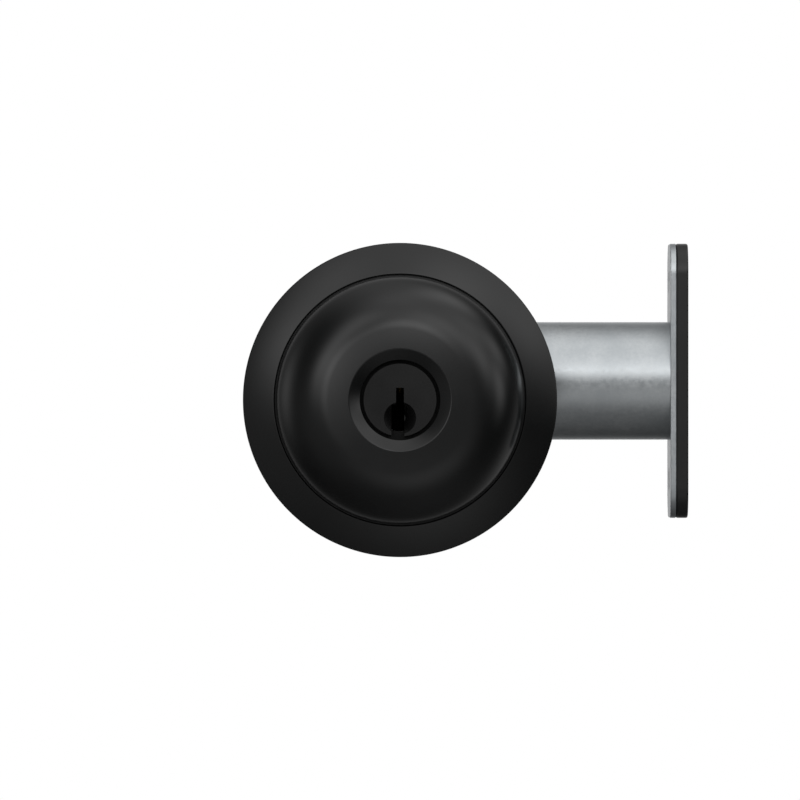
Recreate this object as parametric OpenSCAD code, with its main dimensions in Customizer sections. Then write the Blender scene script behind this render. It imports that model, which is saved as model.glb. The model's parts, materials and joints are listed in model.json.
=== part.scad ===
// Single-cylinder deadbolt: key cylinder with a free-spinning guard outside, tubular bolt, thumb turn inside.
// Frame: +X towards the door's edge, +Y from the outer face through the door, +Z up. The origin is on the
// key's axis, at the door's outer face. All lengths are in millimetres.

/* [Door] */
// Thickness of the door
door_t = 44.5; // [38:0.5:54]
// From the door's edge to the key's axis
backset = 60; // [60:1:72]
// Diameter of the cross bore through the door
cross_bore_d = 54; // [50:0.5:65]
// Diameter of the edge bore for the bolt
edge_bore_d = 25.4; // [24:0.2:31]
// Height of both bores' centre above the key's axis
bolt_rise = 4; // [3.4:0.1:4.8]

/* [Trim ring] */
// Width of the ring's sloping face, seen from the front
ring_w = 6.5; // [5:0.1:8]
// Thickness of the ring at its outer edge
ring_edge_t = 2.2; // [1.9:0.1:3]
// Slope of the ring's face
ring_slope = 24; // [15:1:32]
// Gap between the ring and the guard
ring_gap = 0.3; // [0.2:0.05:0.8]

/* [Guard] */
// Radius of the domed guard
guard_r = 25.6; // [21:0.1:31]
// How far the guard stands off the door
guard_h = 23.8; // [19.5:0.1:29]
// Radius of the dished centre
dish_r = 10.5; // [9:0.1:12.6]
// Slope of the dish
dish_slope = 30; // [20:1:36]
// Width of the nearly flat face round the dish
face_w = 4.15; // [3:0.05:6]
// Slope of that face
face_slope = 5; // [2:0.5:8]
// Wall of the guard
guard_wall = 2.4; // [1.8:0.1:3]

/* [Key cylinder] */
// Radius of the plug
plug_r = 6.35; // [5.4:0.05:7]
// Radius of the plug's face
face_r = 7.45; // [7.1:0.05:8.2]
// Dark gap round the plug's face
face_gap = 0.75; // [0.5:0.05:0.9]
// Radius of a pin
pin_r = 1.44; // [1.2:0.02:1.6]
// Distance between two pins
pin_pitch = 3.97; // [3.4:0.01:4.7]
// Width of the keyway's upper slot
key_slot_w = 1.6; // [1.3:0.1:1.7]
// Top of the keyway above the key's axis
key_slot_top = 2.5; // [2.1:0.1:3]
// Height of the pin chambers above the key's axis
tower_h = 17.5; // [16:0.1:18.5]

/* [Bolt] */
// Travel of the bolt
throw = 25.4; // [21:0.1:26]
// Thickness of the bolt across its flats
bolt_t = 14; // [11.5:0.1:14.5]
// Length of the bolt's solid head
bolt_head_len = 34; // [30:0.5:37]
// Wall of the bolt's tube
tube_wall = 1.2; // [1:0.1:1.5]
// Thickness of a case plate
case_t = 1; // [0.8:0.1:1.2]
// Radius of the drive pin
drive_pin_r = 1.8; // [1.5:0.1:1.9]
// Height of the faceplate
faceplate_h = 57.2; // [50:0.1:69]
// Thickness of the faceplate
faceplate_t = 2.5; // [2:0.1:3]
// Distance between the faceplate's screw holes
faceplate_pitch = 41.3; // [38:0.1:46]

/* [Inside trim] */
// Height of the rose's straight edge
rose_edge_h = 4.6; // [3.9:0.1:6]
// Wall of the rose
rose_wall = 1.5; // [1.2:0.1:1.8]
// Radius of the rose's flat top
rose_top_r = 18; // [15:0.5:21]
// Length of the thumb turn's paddle
turn_len = 38; // [31:0.5:46]
// Thickness of the paddle
turn_t = 8.6; // [7:0.1:10.4]
// How far the thumb turn stands off the rose
turn_h = 20; // [16:0.5:24]
// Distance between the two mounting screws
screw_pitch = 40; // [38:0.5:42]
// Radius of a mounting screw
screw_r = 2; // [1.7:0.1:2.4]

/* [Hidden] */
$fn = 96;

// Clearances
run = 0.06;          // radial, shaft in bore
slack = 0.2;         // between pieces that only pass each other
clear = 0.3;         // between bodies that move apart
cut = 1;             // how far a cutter runs past a face

// Bores and bolt
bolt_y = door_t / 2;
tube_r = edge_bore_d / 2 - 0.4;
tube_in = tube_r - tube_wall;
case_r = edge_bore_d / 2 - 0.2;
bolt_r = tube_in - run;
case_in = bolt_t / 2 + clear;
case_out = case_in + case_t;
crank_reach = throw / 2;               // height of the drive pin above the key's axis
head_back = backset - bolt_head_len;
tube_back = head_back - 2;
case_back = -(crank_reach + 9.3);
tongue_len = 14;
face_hole_r = 2.4;

// Door-side stack, from the door's outer face outwards
flange_t = 2;
flange_back = 0.2;                     // the flange stands this far off the door, inside the ring
washer_t = 0.5;
lip_low = flange_t + washer_t + slack;
lip_t = 0.6;
lip_w = 1.6;
lip_r = guard_r + lip_w;
lip_top = lip_low + lip_t;
post_r = 4.2;
post_len = 12;
adapter_at = 2.2;                      // past the bore's edge, along +Y
adapter_gap = 1.35;                     // from the collar's inner end to the edge bore
adapter_len = door_t / 2 - edge_bore_d / 2 - adapter_gap - adapter_at;
screw_reach = bolt_rise + screw_pitch / 2;
flange_r = max(lip_r + clear + 1, screw_reach + post_r + clear);
ring_r = max(guard_r + ring_gap + ring_w, bolt_rise + cross_bore_d / 2 + 1.5, flange_r + 3);
ring_in = guard_r + ring_gap;
ring_h = ring_edge_t + (ring_r - ring_in) * tan(ring_slope);

// Guard's outline: skirt, round shoulder, face, dish
shoulder_r = (guard_r - dish_r - face_w) / (1 - sin(face_slope));
shoulder_at = guard_r - shoulder_r;
skirt_h = guard_h - shoulder_r * cos(face_slope) - face_w * tan(face_slope);
face_bore = face_r + face_gap;
dish_depth = (dish_r - face_bore) * tan(dish_slope);
face_top = guard_h - dish_depth;       // edge of the guard's bore
bridge_t = 1.8;
ceiling = face_top - bridge_t;         // under the guard's front wall
insert_t = 2;
insert_low = ceiling - insert_t;
insert_in = 10.1;
insert_r = insert_in + 3;

// Cylinder, front to back
snout_r = insert_in - run;
snout_top = ceiling - slack;
plug_face = face_top - 0.2;
body_top = insert_low - clear;
body_r = plug_r + 5.15;
tower_w = 2 * pin_r + 6;
chamber_r = pin_r + 0.06;
pin_count = 5;
first_pin = 6;
function pin_at(i) = plug_face - first_pin - i * pin_pitch;
cyl_back = pin_at(pin_count - 1) - 3.3;
drill_r = 0.9;
drill_len = 6;
clip_t = 0.8;
plug_back = cyl_back - 3;
cap_back = plug_back - 2.6;
shear = plug_r - 0.2;                  // flat tops of the key pins
driver_len = 4.2;
key_pin_len = [4.2, 5, 3.8, 4.6, 5.4];
cap_t = 1;
spring_top = tower_h - cap_t;

// Drive from the thumb turn
tail_w = 6;
tail_t = 1.6;
tail_front = -(plug_back - 1.4);       // along +Y
journal_r = 4.2;
hub_r = 5.2;
arm_t = 3;
fork_half = drive_pin_r + 1.2;         // wide enough for a turn at a steady ratio
prong_w = 1.8;
arm_r = crank_reach * sqrt(2) + 0.6;
turn_angle = 90;

// Inside trim, from the door's inner face inwards
plate_t = 1.6;
head_r = 4;
head_h = 2.4;
rose_r = max(ring_r, screw_reach + head_r + rose_wall + 1.2);
rose_h = rose_edge_h + (rose_r - rose_top_r) * tan(ring_slope);
shaft_r = 5.5;
bush_r = 7;
shaft_low = -3;
turn_low = rose_h + clear;
turn_clip_t = 0.9;
turn_clip_low = rose_h - rose_wall - 1.9 - turn_clip_t;
groove_depth = 0.7;
collar_r = 11;
collar_h = 5;
socket_h = 3.8;

// Local frames. In out_frame the local +Z leaves the door's outer face and the local +Y is up.
module out_frame() { rotate([90, 0, 0]) children(); }
// In in_frame the local +Z leaves the door's inner face, and the local -Y is up.
module in_frame() { translate([0, door_t, 0]) rotate([-90, 0, 0]) children(); }
// In bolt_frame the local +Z runs along the bolt, the local +Y through the door, and the local -X is up.
module bolt_frame() { translate([0, bolt_y, bolt_rise]) rotate([0, 90, 0]) children(); }
// In side_frame a flat drawing in X and up is given a thickness along Y, centred on the bolt.
module side_frame(t) {
    translate([0, bolt_y + t / 2, 0]) rotate([90, 0, 0]) linear_extrude(t) children();
}

module ring(r_out, r_in, h) {
    difference() {
        cylinder(r = r_out, h = h);
        translate([0, 0, -cut]) cylinder(r = r_in, h = h + 2 * cut);
    }
}

// Cutter for a conical recess, open above
module sink(r_low, r_top, h) {
    rotate_extrude() polygon([[0, 0], [r_low, 0], [r_top, h], [r_top, h + cut], [0, h + cut]]);
}

// Retaining ring with a gap that faces the local +X
module c_clip(r_out, r_in, h) {
    difference() {
        ring(r_out, r_in, h);
        linear_extrude(3 * h, center = true)
            polygon([[0, 0], [2 * r_out, -1.1 * r_out], [2 * r_out, 1.1 * r_out]]);
    }
}

// ---- outside trim ----

module trim_ring() {
    color("#1b1b1c") out_frame() rotate_extrude()
        polygon([
            [flange_r + slack, 0], [ring_r, 0], [ring_r, ring_edge_t], [ring_in, ring_h],
            [ring_in, lip_top + slack], [lip_r + clear, lip_top + slack],
            [lip_r + clear, flange_t], [flange_r + slack, flange_t]
        ]);
}

module guard_outline() {
    translate([0, lip_top]) square([guard_r, skirt_h - lip_top]);
    translate([0, lip_low]) square([lip_r, lip_t]);
    intersection() {
        translate([shoulder_at, skirt_h]) circle(r = shoulder_r);
        translate([shoulder_at, skirt_h]) square(2 * shoulder_r);
    }
    polygon([
        [0, skirt_h], [shoulder_at, skirt_h],
        [shoulder_at + shoulder_r * sin(face_slope), skirt_h + shoulder_r * cos(face_slope)],
        [dish_r, guard_h], [face_bore, face_top], [0, face_top]
    ]);
}

module guard_hollow() {
    inner_r = shoulder_r - guard_wall;
    translate([0, lip_low - cut]) square([guard_r - guard_wall, skirt_h - lip_low + cut]);
    intersection() {
        translate([shoulder_at, skirt_h]) circle(r = inner_r);
        translate([0, skirt_h]) square([guard_r, insert_low - skirt_h]);
    }
    translate([0, skirt_h - cut]) square([shoulder_at, insert_low - skirt_h + cut]);
    translate([0, insert_low - cut]) square([insert_r, insert_t + cut]);
    square([face_bore, guard_h + cut]);
}

module guard() {
    color("#161617") out_frame() rotate_extrude() difference() {
        guard_outline();
        guard_hollow();
    }
}

module guard_insert() {
    color("#7f8487") out_frame() translate([0, 0, insert_low]) ring(insert_r, insert_in, insert_t);
}

module guard_washer() {
    color("#e6e3da") out_frame() translate([0, 0, flange_t]) ring(lip_r, guard_r - guard_wall, washer_t);
}

// ---- key cylinder ----

module at_posts() {
    for (side = [-1, 1]) translate([0, bolt_rise + side * screw_pitch / 2, 0]) children();
}

module at_pins() {
    for (i = [0 : pin_count - 1]) translate([0, 0, pin_at(i)]) rotate([-90, 0, 0]) children();
}

module at_drill_pins() {
    for (turn = [-60, 60, 180]) rotate([0, 0, turn]) translate([0, (plug_r + snout_r) / 2, 0]) children();
}

module cylinder_housing() {
    color("#9fa3a4") out_frame() difference() {
        union() {
            translate([0, 0, flange_back]) cylinder(r = flange_r, h = flange_t - flange_back);
            translate([0, 0, cyl_back]) cylinder(r = body_r, h = body_top - cyl_back);
            cylinder(r = snout_r, h = snout_top);
            translate([-tower_w / 2, 0, cyl_back]) cube([tower_w, tower_h, body_top - cyl_back]);
            at_posts() translate([0, 0, -post_len]) cylinder(r = post_r, h = post_len + flange_t / 2);
        }
        translate([0, 0, cyl_back - cut]) cylinder(r = plug_r + run, h = snout_top - cyl_back + 2 * cut);
        at_pins() cylinder(r = chamber_r, h = tower_h + cut);
        translate([-tower_w / 2 + 1, spring_top, cyl_back + 1])
            cube([tower_w - 2, cap_t + cut, body_top - cyl_back - 2]);
        at_posts() translate([0, 0, -post_len - cut])
            cylinder(r = screw_r + 0.05, h = post_len + flange_t / 2 + cut);
        at_drill_pins() translate([0, 0, snout_top - drill_len]) cylinder(r = drill_r, h = drill_len + cut);
    }
}

module chamber_cap() {
    color("#b59a54") out_frame() translate([-tower_w / 2 + 1, spring_top, cyl_back + 1])
        cube([tower_w - 2, cap_t, body_top - cyl_back - 2]);
}

module drill_pins() {
    color("#6d7073") out_frame() at_drill_pins() translate([0, 0, snout_top - drill_len])
        cylinder(r = drill_r, h = drill_len);
}

// The keyway as the key sees it: a narrow upper slot and a wider foot that leaves the plug below
module keyway() {
    foot_top = -0.9;
    foot_left = -1.75;
    foot_right = 0.9;
    low = -face_r - cut;
    polygon([
        [-key_slot_w / 2, key_slot_top], [key_slot_w / 2, key_slot_top], [key_slot_w / 2, foot_top],
        [foot_right, foot_top], [foot_right, low], [foot_left, low], [foot_left, foot_top],
        [-key_slot_w / 2, foot_top]
    ]);
}

module plug() {
    face_t = plug_face - snout_top - 0.1;
    dimple_at = -3.7;
    dimple_h = 2.2;
    dimple_r = 3.3;
    dimple_low_r = 1.1;
    color("#2a2a2b") out_frame() difference() {
        union() {
            translate([0, 0, plug_back]) cylinder(r = plug_r, h = plug_face - plug_back);
            translate([0, 0, plug_face - face_t]) cylinder(r = face_r, h = face_t);
        }
        translate([0, 0, plug_back + 4]) linear_extrude(plug_face - plug_back) keyway();
        translate([0, dimple_at, plug_face - dimple_h]) sink(dimple_low_r, dimple_r, dimple_h);
        at_pins() cylinder(r = chamber_r, h = plug_r + cut);
        translate([0, 0, cyl_back - slack - clip_t]) ring(plug_r + cut, plug_r - 0.8, clip_t);
        translate([0, 0, plug_back - cut]) cylinder(r = tail_w / 2 + 0.5, h = 1.6 + cut);
    }
}

module key_pins() {
    tip = 0.9;
    color("#c8a24a") out_frame() for (i = [0 : pin_count - 1])
        translate([0, shear - key_pin_len[i], pin_at(i)]) rotate([-90, 0, 0]) {
            cylinder(r1 = 0.5, r2 = pin_r, h = tip);
            translate([0, 0, tip]) cylinder(r = pin_r, h = key_pin_len[i] - tip);
        }
}

module driver_pins() {
    color("#b9bcbe") out_frame() at_pins() translate([0, 0, plug_r + run + 0.04])
        cylinder(r = pin_r, h = driver_len);
}

// One coil spring: rings of points swept along a helix of the given height
module coil(mean_r, wire_r, turns, h) {
    steps = 12;
    sides = 6;
    count = turns * steps;
    function ring_point(i, j) =
        let (turn = 360 * i / steps, side = 360 * j / sides, r = mean_r + wire_r * cos(side))
        [r * cos(turn), r * sin(turn), wire_r + (h - 2 * wire_r) * i / count + wire_r * sin(side)];
    points = [for (i = [0 : count]) for (j = [0 : sides - 1]) ring_point(i, j)];
    walls = [for (i = [0 : count - 1]) for (j = [0 : sides - 1])
        [i * sides + j, i * sides + (j + 1) % sides, (i + 1) * sides + (j + 1) % sides, (i + 1) * sides + j]];
    ends = [[for (j = [sides - 1 : -1 : 0]) j], [for (j = [0 : sides - 1]) count * sides + j]];
    polyhedron(points = points, faces = concat(walls, ends));
}

module pin_springs() {
    low = plug_r + run + 0.04 + driver_len;
    color("#d2d4d6") out_frame() at_pins() translate([0, 0, low])
        coil(mean_r = pin_r - 0.35, wire_r = 0.16, turns = 7, h = spring_top - low);
}

module plug_clip() {
    color("#8d9194") out_frame() translate([0, 0, cyl_back - slack - clip_t])
        c_clip(plug_r + 1.7, plug_r - 0.8, clip_t);
}

module plug_cap() {
    color("#8f8c84") out_frame() difference() {
        union() {
            translate([0, 0, cap_back]) cylinder(r = plug_r + 1.1, h = plug_back - cap_back);
            translate([0, 0, plug_back]) ring(plug_r + 1.1, plug_r, 1.4);
        }
        translate([0, 0, cap_back - cut]) cylinder(r = tail_w / 2 + 0.5, h = plug_back - cap_back + 2 * cut);
    }
}

module tailpiece() {
    tail_end = door_t + rose_h - 1;
    color("#a7abad") translate([-tail_t / 2, tail_front, -tail_w / 2])
        cube([tail_t, tail_end - tail_front, tail_w]);
}

module bore_adapter() {
    adapter_r = cross_bore_d / 2 - slack;
    adapter_in = min(adapter_r - 2, screw_pitch / 2 + post_r - 0.4);
    color("#34363a") out_frame() difference() {
        translate([0, bolt_rise, -adapter_at - adapter_len]) ring(adapter_r, adapter_in, adapter_len);
        at_posts() translate([0, 0, -post_len]) cylinder(r = post_r, h = post_len);
    }
}

// ---- bolt ----

module bolt_outline(grow) {
    intersection() {
        circle(r = bolt_r + grow);
        square([3 * bolt_r, bolt_t + 2 * grow], center = true);
    }
}

module plate_outline() {
    corner_r = 6.35;
    plate_w = edge_bore_d;
    for (side = [-1, 1]) translate([side * (faceplate_h / 2 - corner_r), 0])
        for (end = [-1, 1]) translate([0, end * (plate_w / 2 - corner_r)]) circle(r = corner_r);
    square([faceplate_h - 2 * corner_r, plate_w], center = true);
    square([faceplate_h, plate_w - 2 * corner_r], center = true);
}

module at_face_screws() {
    for (side = [-1, 1]) translate([side * faceplate_pitch / 2, 0, 0]) children();
}

module faceplate() {
    sink_r = 4.4;
    sink_t = 1.4;
    color("#1b1b1c") bolt_frame() translate([0, 0, backset - faceplate_t]) difference() {
        linear_extrude(faceplate_t) plate_outline();
        translate([0, 0, -cut]) linear_extrude(faceplate_t + 2 * cut) bolt_outline(clear);
        at_face_screws() translate([0, 0, -cut]) cylinder(r = face_hole_r, h = faceplate_t + 2 * cut);
        at_face_screws() translate([0, 0, faceplate_t - sink_t]) sink(face_hole_r, sink_r, sink_t);
    }
}

module backplate() {
    back_t = 1.2;
    color("#9fa3a4") bolt_frame() translate([0, 0, backset - faceplate_t - back_t]) difference() {
        linear_extrude(back_t) plate_outline();
        translate([0, 0, -cut]) cylinder(r = tube_r + 0.05, h = back_t + 2 * cut);
        at_face_screws() translate([0, 0, -cut]) cylinder(r = face_hole_r, h = back_t + 2 * cut);
    }
}

module bolt_tube() {
    color("#b4b7b8") bolt_frame() translate([0, 0, tube_back])
        ring(tube_r, tube_in, backset - faceplate_t - tube_back);
}

// One side plate of the case: side is -1 towards the outside of the door and 1 towards the inside
module case_plate(side) {
    low = side > 0 ? case_in : -case_out;
    difference() {
        bolt_frame() {
            intersection() {
                translate([-case_r, low, case_back]) cube([2 * case_r, case_t, tube_back - case_back]);
                translate([0, 0, case_back]) cylinder(r = case_r, h = tube_back - case_back);
            }
            intersection() {
                translate([-tube_in, low, tube_back]) cube([2 * tube_in, case_t, tongue_len]);
                translate([0, 0, tube_back]) cylinder(r = tube_in, h = tongue_len);
            }
        }
        side_frame(4 * case_out) circle(r = journal_r + run);
        side_frame(4 * case_out) at_rivets() circle(r = 1.2);
    }
}

module at_rivets() {
    translate([case_back + 2.4, -0.6]) children();
    translate([case_back + 2.4, crank_reach - 1.7]) children();
    translate([crank_reach + 0.8, -1.4]) children();
}

module case_left() { color("#a9adaf") case_plate(-1); }

module case_right() { color("#a9adaf") case_plate(1); }

module case_rivets() {
    color("#8d9194") {
        side_frame(2 * case_in) at_rivets() circle(r = 2);
        side_frame(2 * case_out + 0.8) at_rivets() circle(r = 1.2);
    }
}

module detent_spring() {
    under = -hub_r - clear;
    leaf_t = 0.5;
    rear = case_back + 2.4;
    front = crank_reach + 0.8;
    color("#c9ccce") side_frame(6) polygon([
        [rear - 1.4, -2.6], [rear, -2.6], [-3, under], [3, under], [front, -3.4], [front + 2, -3.4],
        [front + 2, -3.4 - leaf_t], [front, -3.4 - leaf_t], [3, under - leaf_t], [-3, under - leaf_t],
        [rear, -2.6 - leaf_t], [rear - 1.4, -2.6 - leaf_t]
    ]);
}

module crank_arm() {
    arm_half = fork_half + prong_w;
    root_half = hub_r - 1;
    difference() {
        intersection() {
            polygon([
                [-root_half, 0], [root_half, 0], [arm_half, crank_reach * 0.6], [arm_half, arm_r],
                [-arm_half, arm_r], [-arm_half, crank_reach * 0.6]
            ]);
            circle(r = arm_r);
        }
        translate([0, crank_reach - drive_pin_r + fork_half - 0.4]) {
            circle(r = fork_half);
            translate([-fork_half, 0]) square([2 * fork_half, arm_r]);
        }
    }
}

module crank() {
    hub_t = 2 * case_in - 2 * clear;
    color("#a08d62") difference() {
        union() {
            side_frame(arm_t) rotate(turn_angle / 2) crank_arm();
            side_frame(hub_t) circle(r = hub_r);
            side_frame(2 * case_out) circle(r = journal_r);
        }
        side_frame(4 * case_out) square([tail_t + 0.1, tail_w + 0.1], center = true);
    }
}

module bolt() {
    nose = 0.8;
    tongue_t = 4;
    roller_at = backset - 10;
    color("#c3c5c6") difference() {
        bolt_frame() {
            translate([0, 0, head_back]) linear_extrude(bolt_head_len - nose) bolt_outline(0);
            translate([0, 0, backset - nose]) linear_extrude(nose) bolt_outline(-nose / 2);
            translate([-9, -tongue_t / 2, head_back - 8]) cube([8, tongue_t, 9]);
        }
        translate([roller_at, bolt_y, bolt_rise - 8]) cylinder(r = 3.05, h = 16);
        side_frame(tongue_t + cut) at_tail_pins() circle(r = 1.2);
    }
}

module bolt_roller() {
    color("#6d7073") translate([backset - 10, bolt_y, bolt_rise - 7.9]) cylinder(r = 3, h = 15.8);
}

module at_tail_pins() {
    for (x = [head_back - 6, head_back - 2]) translate([x, bolt_rise + 5]) children();
}

module bolt_tail() {
    plate_in = 2;
    plate_out = 4;
    arm_low = hub_r + 1;
    arm_top = bolt_rise + 9.4;
    rear = -crank_reach - 3.8;
    lug_top = crank_reach + drive_pin_r + 1;
    color("#9a9ea0") for (side = [-1, 1])
        translate([0, side * (plate_in + plate_out) / 2, 0]) side_frame(plate_out - plate_in) difference() {
            polygon([
                [rear, crank_reach - 4], [rear + 2.5, arm_low], [head_back - 0.2, arm_low],
                [head_back - 0.2, arm_top], [-crank_reach + 6, arm_top], [-crank_reach + 3.8, lug_top],
                [rear + 1, lug_top], [rear, lug_top - 1]
            ]);
            translate([-crank_reach, crank_reach]) circle(r = drive_pin_r);
            at_tail_pins() circle(r = 1.2);
        }
}

module tail_pins() {
    color("#8d9194") side_frame(9.2) at_tail_pins() circle(r = 1.2);
}

module drive_pin() {
    color("#6d7073") {
        side_frame(8) translate([-crank_reach, crank_reach]) circle(r = drive_pin_r);
        for (side = [-1, 1]) translate([0, side * 4.5, 0]) side_frame(1)
            translate([-crank_reach, crank_reach]) circle(r = drive_pin_r + 0.6);
    }
}

// ---- inside trim ----

module at_inner_screws() {
    for (side = [-1, 1]) translate([0, -(bolt_rise + side * screw_pitch / 2), 0]) children();
}

module inner_plate() {
    color("#a9adaf") in_frame() difference() {
        cylinder(r = rose_r - rose_wall, h = plate_t);
        translate([0, 0, -cut]) cylinder(r = bush_r + 3, h = plate_t + 2 * cut);
        at_inner_screws() translate([0, 0, -cut]) cylinder(r = screw_r + 0.3, h = plate_t + 2 * cut);
    }
}

module inner_rose() {
    top_in = rose_h - rose_wall;
    slope_drop = rose_wall * tan(ring_slope / 2);
    color("#161617") in_frame() rotate_extrude() polygon([
        [rose_r, 0], [rose_r, rose_edge_h], [rose_top_r, rose_h], [bush_r, rose_h], [bush_r, top_in],
        [rose_top_r - slope_drop, top_in], [rose_r - rose_wall, rose_edge_h - slope_drop], [rose_r - rose_wall, 0]
    ]);
}

module turn_bushing() {
    color("#e6e3da") in_frame() {
        translate([0, 0, rose_h - rose_wall]) ring(bush_r, shaft_r + run, rose_wall);
        translate([0, 0, rose_h - rose_wall - 0.8]) ring(bush_r + 1.4, shaft_r + run, 0.8);
    }
}

module wave_washer() {
    color("#c9ccce") in_frame() translate([0, 0, rose_h - rose_wall - 1.6]) ring(bush_r + 1, shaft_r + 0.2, 0.8);
}

module turn_clip() {
    color("#8d9194") in_frame() translate([0, 0, turn_clip_low])
        c_clip(shaft_r + 1.8, shaft_r - groove_depth, turn_clip_t);
}

module turn_shaft() {
    color("#8f8c84") in_frame() difference() {
        translate([0, 0, shaft_low]) cylinder(r = shaft_r, h = turn_low + socket_h - shaft_low);
        translate([0, 0, turn_clip_low]) ring(shaft_r + cut, shaft_r - groove_depth, turn_clip_t);
        translate([0, 0, shaft_low - cut]) linear_extrude(rose_h - shaft_low + cut)
            square([tail_t + 0.1, tail_w + 0.1], center = true);
    }
}

module thumbturn() {
    edge_r = turn_t / 2;
    color("#161617") in_frame() difference() {
        union() {
            translate([0, 0, turn_low]) cylinder(r1 = collar_r, r2 = collar_r - 2, h = collar_h);
            hull() for (side = [-1, 1]) {
                translate([0, side * (collar_r - edge_r), turn_low + 1]) cylinder(r = edge_r, h = 1, $fn = 32);
                translate([0, side * (turn_len / 2 - edge_r), turn_low + 9]) cylinder(r = edge_r, h = 1, $fn = 32);
                translate([0, side * (turn_len / 2 - edge_r), turn_low + turn_h - 3])
                    cylinder(r1 = edge_r, r2 = edge_r - 1.4, h = 3, $fn = 32);
            }
        }
        translate([0, 0, turn_low - cut]) cylinder(r = shaft_r, h = socket_h + cut);
    }
}

module mounting_screws() {
    tip = -(door_t - 4);
    color("#b4b7b8") in_frame() at_inner_screws() difference() {
        union() {
            translate([0, 0, tip]) cylinder(r = screw_r, h = plate_t - tip);
            translate([0, 0, plate_t]) cylinder(r1 = head_r, r2 = head_r - 1, h = head_h);
        }
        for (turn = [0, 90]) rotate(turn) translate([-2.2, -0.45, plate_t + head_h - 1.4]) cube([4.4, 0.9, 2]);
    }
}

trim_ring();
guard();
guard_insert();
guard_washer();
cylinder_housing();
chamber_cap();
drill_pins();
plug();
key_pins();
driver_pins();
pin_springs();
plug_clip();
plug_cap();
tailpiece();
bore_adapter();
faceplate();
backplate();
bolt_tube();
case_left();
case_right();
case_rivets();
detent_spring();
crank();
bolt();
bolt_roller();
bolt_tail();
tail_pins();
drive_pin();
inner_plate();
inner_rose();
turn_bushing();
wave_washer();
turn_clip();
turn_shaft();
thumbturn();
mounting_screws();
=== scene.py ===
# %% [markdown]
# # A round deadbolt, finished in Blender
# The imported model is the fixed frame: every node sits at its real place, in metres, with +X towards the
# door's edge, +Y through the door and +Z up. This lesson gives each node its finish, and rebuilds the
# pieces whose soft edges, threads and coils a plain solid leaves out.

# %% Load the frame
import json
import math

import bmesh
import bpy
from mathutils import Matrix, Vector


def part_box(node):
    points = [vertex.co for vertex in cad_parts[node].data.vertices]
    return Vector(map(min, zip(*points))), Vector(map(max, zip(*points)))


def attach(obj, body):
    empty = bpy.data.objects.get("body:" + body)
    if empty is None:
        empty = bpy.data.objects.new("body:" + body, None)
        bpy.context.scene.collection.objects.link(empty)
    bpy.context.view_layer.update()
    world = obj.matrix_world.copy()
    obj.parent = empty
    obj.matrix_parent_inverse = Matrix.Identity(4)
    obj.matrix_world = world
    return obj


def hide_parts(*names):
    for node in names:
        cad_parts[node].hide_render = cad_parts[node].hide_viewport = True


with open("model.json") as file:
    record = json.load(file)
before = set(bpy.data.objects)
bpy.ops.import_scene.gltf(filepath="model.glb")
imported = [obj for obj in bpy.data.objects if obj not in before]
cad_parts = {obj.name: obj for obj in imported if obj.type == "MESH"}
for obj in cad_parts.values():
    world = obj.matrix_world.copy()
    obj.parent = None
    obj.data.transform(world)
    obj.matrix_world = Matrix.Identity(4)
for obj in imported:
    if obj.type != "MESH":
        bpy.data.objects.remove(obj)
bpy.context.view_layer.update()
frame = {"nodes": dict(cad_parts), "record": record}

MM = 0.001
WELD = 1e-7  # vertices closer than this are one vertex
print("nodes in the frame:", len(frame["nodes"]))

# %% [markdown]
# The view is square on, from far away and with a long lens, so that the round trim stays round and its
# flanks don't show. A lens that long is nearly a parallel projection. The frame is a little more than two
# and a half rings wide.

# %% Camera
VIEW_DISTANCE = 2.0
SENSOR = 36.0
ring_low, ring_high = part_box("trim_ring")
ring_width = ring_high.x - ring_low.x
FRAME_SIZE = 800
RING_IN_FRAME = 314
camera_data = bpy.data.cameras.new("camera")
camera_data.sensor_width = SENSOR
camera_data.lens = SENSOR * VIEW_DISTANCE / (ring_width * (FRAME_SIZE / RING_IN_FRAME))
camera_data.clip_start = 0.1
camera = bpy.data.objects.new("camera", camera_data)
bpy.context.scene.collection.objects.link(camera)
camera.location = (0, -VIEW_DISTANCE, 0)
camera.rotation_euler = (math.radians(90), 0, 0)
bpy.context.scene.camera = camera
print(f"ring {ring_width / MM:.1f} mm wide, lens {camera_data.lens:.0f} mm")

# %% [markdown]
# Three small helpers carry the whole file. Colours are written as they look on a screen and turned to
# linear light, a node is added with its settings and links in one call, and a table of vertices and faces
# becomes an object whose normals point outwards.

# %% Helpers
def linear(hex_code, alpha=1.0):
    """An sRGB hex colour as linear RGBA."""
    parts = [int(hex_code[i:i + 2], 16) / 255 for i in (1, 3, 5)]
    return [c / 12.92 if c <= 0.04045 else ((c + 0.055) / 1.055) ** 2.4 for c in parts] + [alpha]


def add_node(tree, kind, inputs=None, **settings):
    """A node with its settings; inputs maps a socket's name or number to a value or to a source socket."""
    made = tree.nodes.new(kind)
    for name, value in settings.items():
        setattr(made, name, value)
    for name, value in (inputs or {}).items():
        socket = made.inputs[name]
        if isinstance(value, bpy.types.NodeSocket):
            tree.links.new(value, socket)
        else:
            socket.default_value = value
    return made


def object_from(name, verts, faces, smooth_deg=35):
    """A mesh object in the row frame, doubles merged, normals outwards, smooth up to an angle."""
    mesh = bpy.data.meshes.new(name)
    mesh.from_pydata([tuple(v) for v in verts], [], faces)
    made = bpy.data.objects.new(name, mesh)
    bpy.context.scene.collection.objects.link(made)
    tidy_mesh(made, smooth_deg)
    return made


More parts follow.
